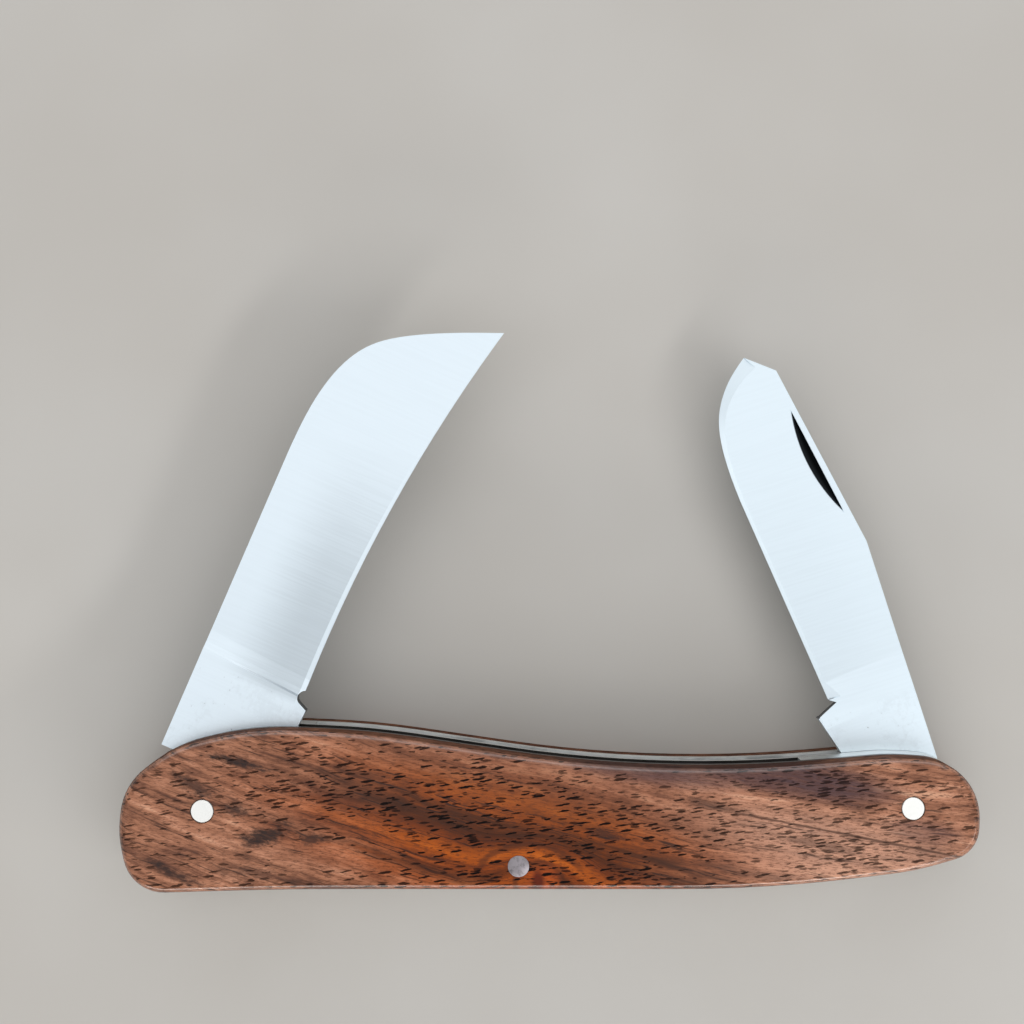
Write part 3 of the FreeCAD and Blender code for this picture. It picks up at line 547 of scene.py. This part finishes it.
def satin_steel(name, tone, blade, satin_and_shade_share):
    """Ground steel: fine lines across the blade, heavier near the heel, pits and a smear on the tang; painted
    shade near the heel, on the ramps and in the nick and notch, and a painted highlight on the honed edge.
    """
    steel = Finish(name)
    place = steel.places(*blade_at_rest(blade))
    along, across, up = steel.parts(place)
    spineward = across * blade.spine_side
    lines = steel.noise(place, *GRIND_LINES)
    cloud = steel.noise(place, *STEEL_CLOUD)
    specks = steel.noise(place, *STEEL_SPECKS)
    flatness = steel.flatness()
    ramp = steel.step(flatness, *blade.ramp_flatness) * steel.step(flatness, *UPRIGHT_FLATNESS)
    tang = steel.step(along, blade.plunge, blade.plunge - PLUNGE_WIDTH)
    ground = (1.0 - tang) * (1.0 - ramp)
    # the honed edge is spared the painted shade, a painted highlight
    if blade.honed:
        ground = ground * (1.0 - honed_edge_highlight(steel, blade, along, spineward))
    satin_and_shade = steel.step(spineward, *SATIN_SPINEWARD) * steel.step(along, *SATIN_ALONG) * ground * satin_and_shade_share
    pits = steel.step(specks, *PIT_LIMITS) * tang
    smear = steel.step(specks * 0.5 + cloud * 0.5, *SMEAR_LIMITS) * tang
    bright = rgb(*tone)
    line_share = steel.step(lines, *LINE_LIMITS) * (LINE_STRENGTH + satin_and_shade * LINE_GAIN_IN_SATIN)
    lined = steel.mix(line_share, bright, shaded(bright, LINE_SHADE))
    # painted shade: the face darkens where the satin is heavier
    satin_shaded = steel.mix(satin_and_shade * SATIN_SHADE_STRENGTH, lined, shaded(bright, SATIN_PAINTED_SHADE))
    worn = steel.mix(pits * PIT_STRENGTH | smear * SMEAR_STRENGTH, satin_shaded, PIT_GREY)
    # painted shade on the ramps: the hawkbill's plunge darkened to grey, the spey's bevels a little
    ramp_shaded = steel.mix(ramp, worn, shaded(bright, blade.ramp_shade))
    # painted shade darkens the nick's sunk face and the notch's walls
    recess_shade = painted_recess_shade(steel, blade, along, spineward, up)
    roughness = 0.32 + swing(lines) * 0.06 + swing(cloud) * 0.05 + tang * 0.03 + satin_and_shade * 0.1 + pits * 0.2
    steel.set(Base_Color=steel.mix(recess_shade, ramp_shaded, RECESS_SHADE_BLACK), Metallic=1.0, Roughness=roughness,
              Normal=steel.bump(1.0 - pits, 0.002, 0.5))
    return steel.material


PLATE_LINES = ((0.25, 9.0, 9.0), 3.0, 0.7)
PLATE_CLOUD = ((0.2, 0.6, 0.6), 4.0, 0.6)
PLATE_FLATNESS = (0.3, 0.6)
EDGE_CLOUD_LIMITS = (0.46, 0.68)
EDGE_CLOUD_STRENGTH = 0.4
FLAT_CLOUD_LIMITS = (0.4, 0.65)
DULL_SHADE = 0.6


def plate_steel(name, edge_tone, flat_tone):
    """Plate with polished edges and flats in a tone of their own; a dark flat tone is painted shade of the
    slots.
    """
    plate = Finish(name)
    place = plate.places()
    flat = plate.step(plate.flatness(), *PLATE_FLATNESS)
    lines = plate.noise(place, *PLATE_LINES)
    cloud = plate.noise(place, *PLATE_CLOUD)
    edge, flat_colour = rgb(*edge_tone), rgb(*flat_tone)
    edge_cloud = plate.step(cloud, *EDGE_CLOUD_LIMITS) * EDGE_CLOUD_STRENGTH
    bright = plate.mix(edge_cloud, edge, shaded(edge, DULL_SHADE))
    # a dark flat tone is painted shade
    clouded_flat = plate.mix(plate.step(cloud, *FLAT_CLOUD_LIMITS), flat_colour, shaded(flat_colour, DULL_SHADE))
    plate.set(Base_Color=plate.mix(flat, bright, clouded_flat), Metallic=1.0,
              Roughness=0.42 + swing(lines) * 0.15 + flat * 0.12, Normal=plate.bump(lines, 0.004, 0.5))
    return plate.material


PIN_CLOUD = ((1.6, 1.6, 0.6), 4.0, 0.6)
PIN_CLOUD_LIMITS = (0.48, 0.72)
PIN_SCRATCHES = ((8.0, 0.7, 0.5), 2.0, 0.5)
SCRATCH_ANGLE = 35.0


def pin_metal(name, tone, roughness, mottle):
    """Peened pin, sanded flush, with scratches and a few dull specks."""
    pin = Finish(name)
    cloud = pin.noise(pin.places(), *PIN_CLOUD)
    scratch = pin.noise(pin.places(ORIGIN, SCRATCH_ANGLE), *PIN_SCRATCHES)
    bright = rgb(*tone)
    specked = pin.mix(pin.step(cloud, *PIN_CLOUD_LIMITS) * mottle, bright, shaded(bright, DULL_SHADE))
    pin.set(Base_Color=specked, Metallic=1.0, Roughness=roughness + swing(scratch) * 0.12,
            Normal=pin.bump(scratch, 0.003, 0.4))
    return pin.material


def dress(material, *names):
    for name in names:
        node = frame["nodes"][name]
        node.data.materials.clear()
        node.data.materials.append(material)


dress(hardwood(), "front_scale", "rear_scale")
dress(satin_steel("hawkbill_steel", (234, 246, 254), HAWKBILL, 1.0), "hawkbill_blade")
dress(satin_steel("spey_steel", (234, 247, 255), SPEY, 0.1), "spey_blade")
# painted shade: the front liner's dark edges and the dark flats of the front and centre liners and the
# springs; the rear liner keeps its own bright steel
dress(plate_steel("front_liner_plate", (96, 94, 92), (60, 58, 56)), "front_liner")
dress(plate_steel("centre_liner_plate", (246, 248, 246), (64, 62, 60)), "centre_liner")
dress(plate_steel("rear_liner_plate", (248, 250, 248), (248, 250, 248)), "rear_liner")
dress(plate_steel("spring_plate", (240, 243, 242), (84, 82, 80)), "hawkbill_spring", "spey_spring")
dress(pin_metal("white_pin", (252, 252, 248), 0.36, 0.06), "hawkbill_pivot_pin", "spey_pivot_pin")
dress(pin_metal("grey_pin", (156, 150, 154), 0.5, 1.0), "centre_pin")
dress(pin_metal("bearing_bronze", (196, 150, 92), 0.35, 0.4), "hawkbill_bushing", "spey_bushing",
      "hawkbill_rear_washer", "hawkbill_front_washer", "spey_rear_washer", "spey_front_washer")

# the floor, in metres
FLOOR_SIZE = 6.0
FLOOR_DROP = 0.02 * MM
FLOOR_MOTTLE = ((0.02, 0.02, 0.02), 3.0, 0.5)
FLOOR_LIMITS = (0.3, 0.7)
FLOOR_DARK = rgb(186, 182, 176)
FLOOR_PALE = rgb(192, 189, 184)


def make_floor():
    """A pale plain table top."""
    bpy.ops.object.select_all(action="DESELECT")
    bpy.ops.mesh.primitive_plane_add(size=FLOOR_SIZE, location=(0, 0, -FLOOR_DROP))
    floor = bpy.context.object
    floor.name = "table_top"
    paper = Finish("pale_table")
    mottle = paper.step(paper.noise(paper.places(), *FLOOR_MOTTLE), *FLOOR_LIMITS)
    paper.set(Base_Color=paper.mix(mottle, FLOOR_DARK, FLOOR_PALE), Roughness=0.8)
    floor.data.materials.append(paper.material)
    return floor


ROOM_TONE = (0.95, 0.97, 1.0)
ROOM_STRENGTH = 0.3
WHITE = (1.0, 1.0, 1.0)
WARM_WHITE = (1.0, 0.97, 0.93)
# soft boxes that hang level, and those that face the knife: name, place and size in metres, radiance, tone
LEVEL_BOXES = (
    ("overhead", (-0.08, 0.37, 0.75), (1.6, 0.98), 0.7, WHITE),
    ("right_high", (0.39, -0.32, 0.75), (0.66, 0.4), 0.78, WHITE),
    ("left_high", (-0.38, -0.32, 0.75), (0.56, 0.4), 0.7, WHITE),
)
FACING_BOXES = (
    ("right_strip", (0.55, -0.45, 0.52), (0.75, 0.1), 9.0, WHITE),
    ("far_side", (-0.05, 1.1, 0.45), (2.2, 0.7), 1.1, WHITE),
    ("near_side", (-0.05, -0.9, 0.3), (1.1, 0.25), 5.0, WARM_WHITE),
    ("right_side", (0.72, -0.35, 0.65), (0.5, 0.5), 0.8, WHITE),
    ("left_side", (-0.72, -0.25, 0.65), (0.5, 0.5), 0.55, WHITE),
)


def make_light(name, place, size, radiance, tone):
    """A soft box that shines straight down."""
    lamp = bpy.data.lights.new(name, "AREA")
    lamp.shape = "RECTANGLE"
    lamp.size, lamp.size_y = size
    lamp.energy = radiance * math.pi * size[0] * size[1]
    lamp.color = tone
    holder = bpy.data.objects.new(name, lamp)
    bpy.context.scene.collection.objects.link(holder)
    holder.location = place
    return holder


def make_room(floor):
    """A dim room with the soft boxes in it."""
    world = bpy.data.worlds.new("soft_room")
    world.use_nodes = True
    glow = world.node_tree.nodes["Background"].inputs
    glow["Color"].default_value = (*ROOM_TONE, 1.0)
    glow["Strength"].default_value = ROOM_STRENGTH
    bpy.context.scene.world = world
    for box in LEVEL_BOXES:
        make_light(*box)
    for box in FACING_BOXES:
        holder = make_light(*box)
        holder.rotation_euler = (floor.location - holder.location).to_track_quat("-Z", "Y").to_euler()


# the photograph's camera: straight down, in millimetres in the part's own frame
CAMERA = (-4.23, 33.66, 234.9)
FOCAL_PIXELS = 1961.0
FRAME_PIXELS = 1024.0
SENSOR_MM = 36.0
CLIP_START = 0.01


def make_camera():
    lens = bpy.data.cameras.new("camera")
    lens.sensor_width = SENSOR_MM
    lens.lens = SENSOR_MM * FOCAL_PIXELS / FRAME_PIXELS
    lens.clip_start = CLIP_START
    eye = bpy.data.objects.new("camera", lens)
    bpy.context.scene.collection.objects.link(eye)
    eye.location = tuple(c * MM for c in CAMERA)
    bpy.context.scene.camera = eye


make_room(make_floor())
make_camera()
bpy.context.scene.view_settings.view_transform = "Standard"
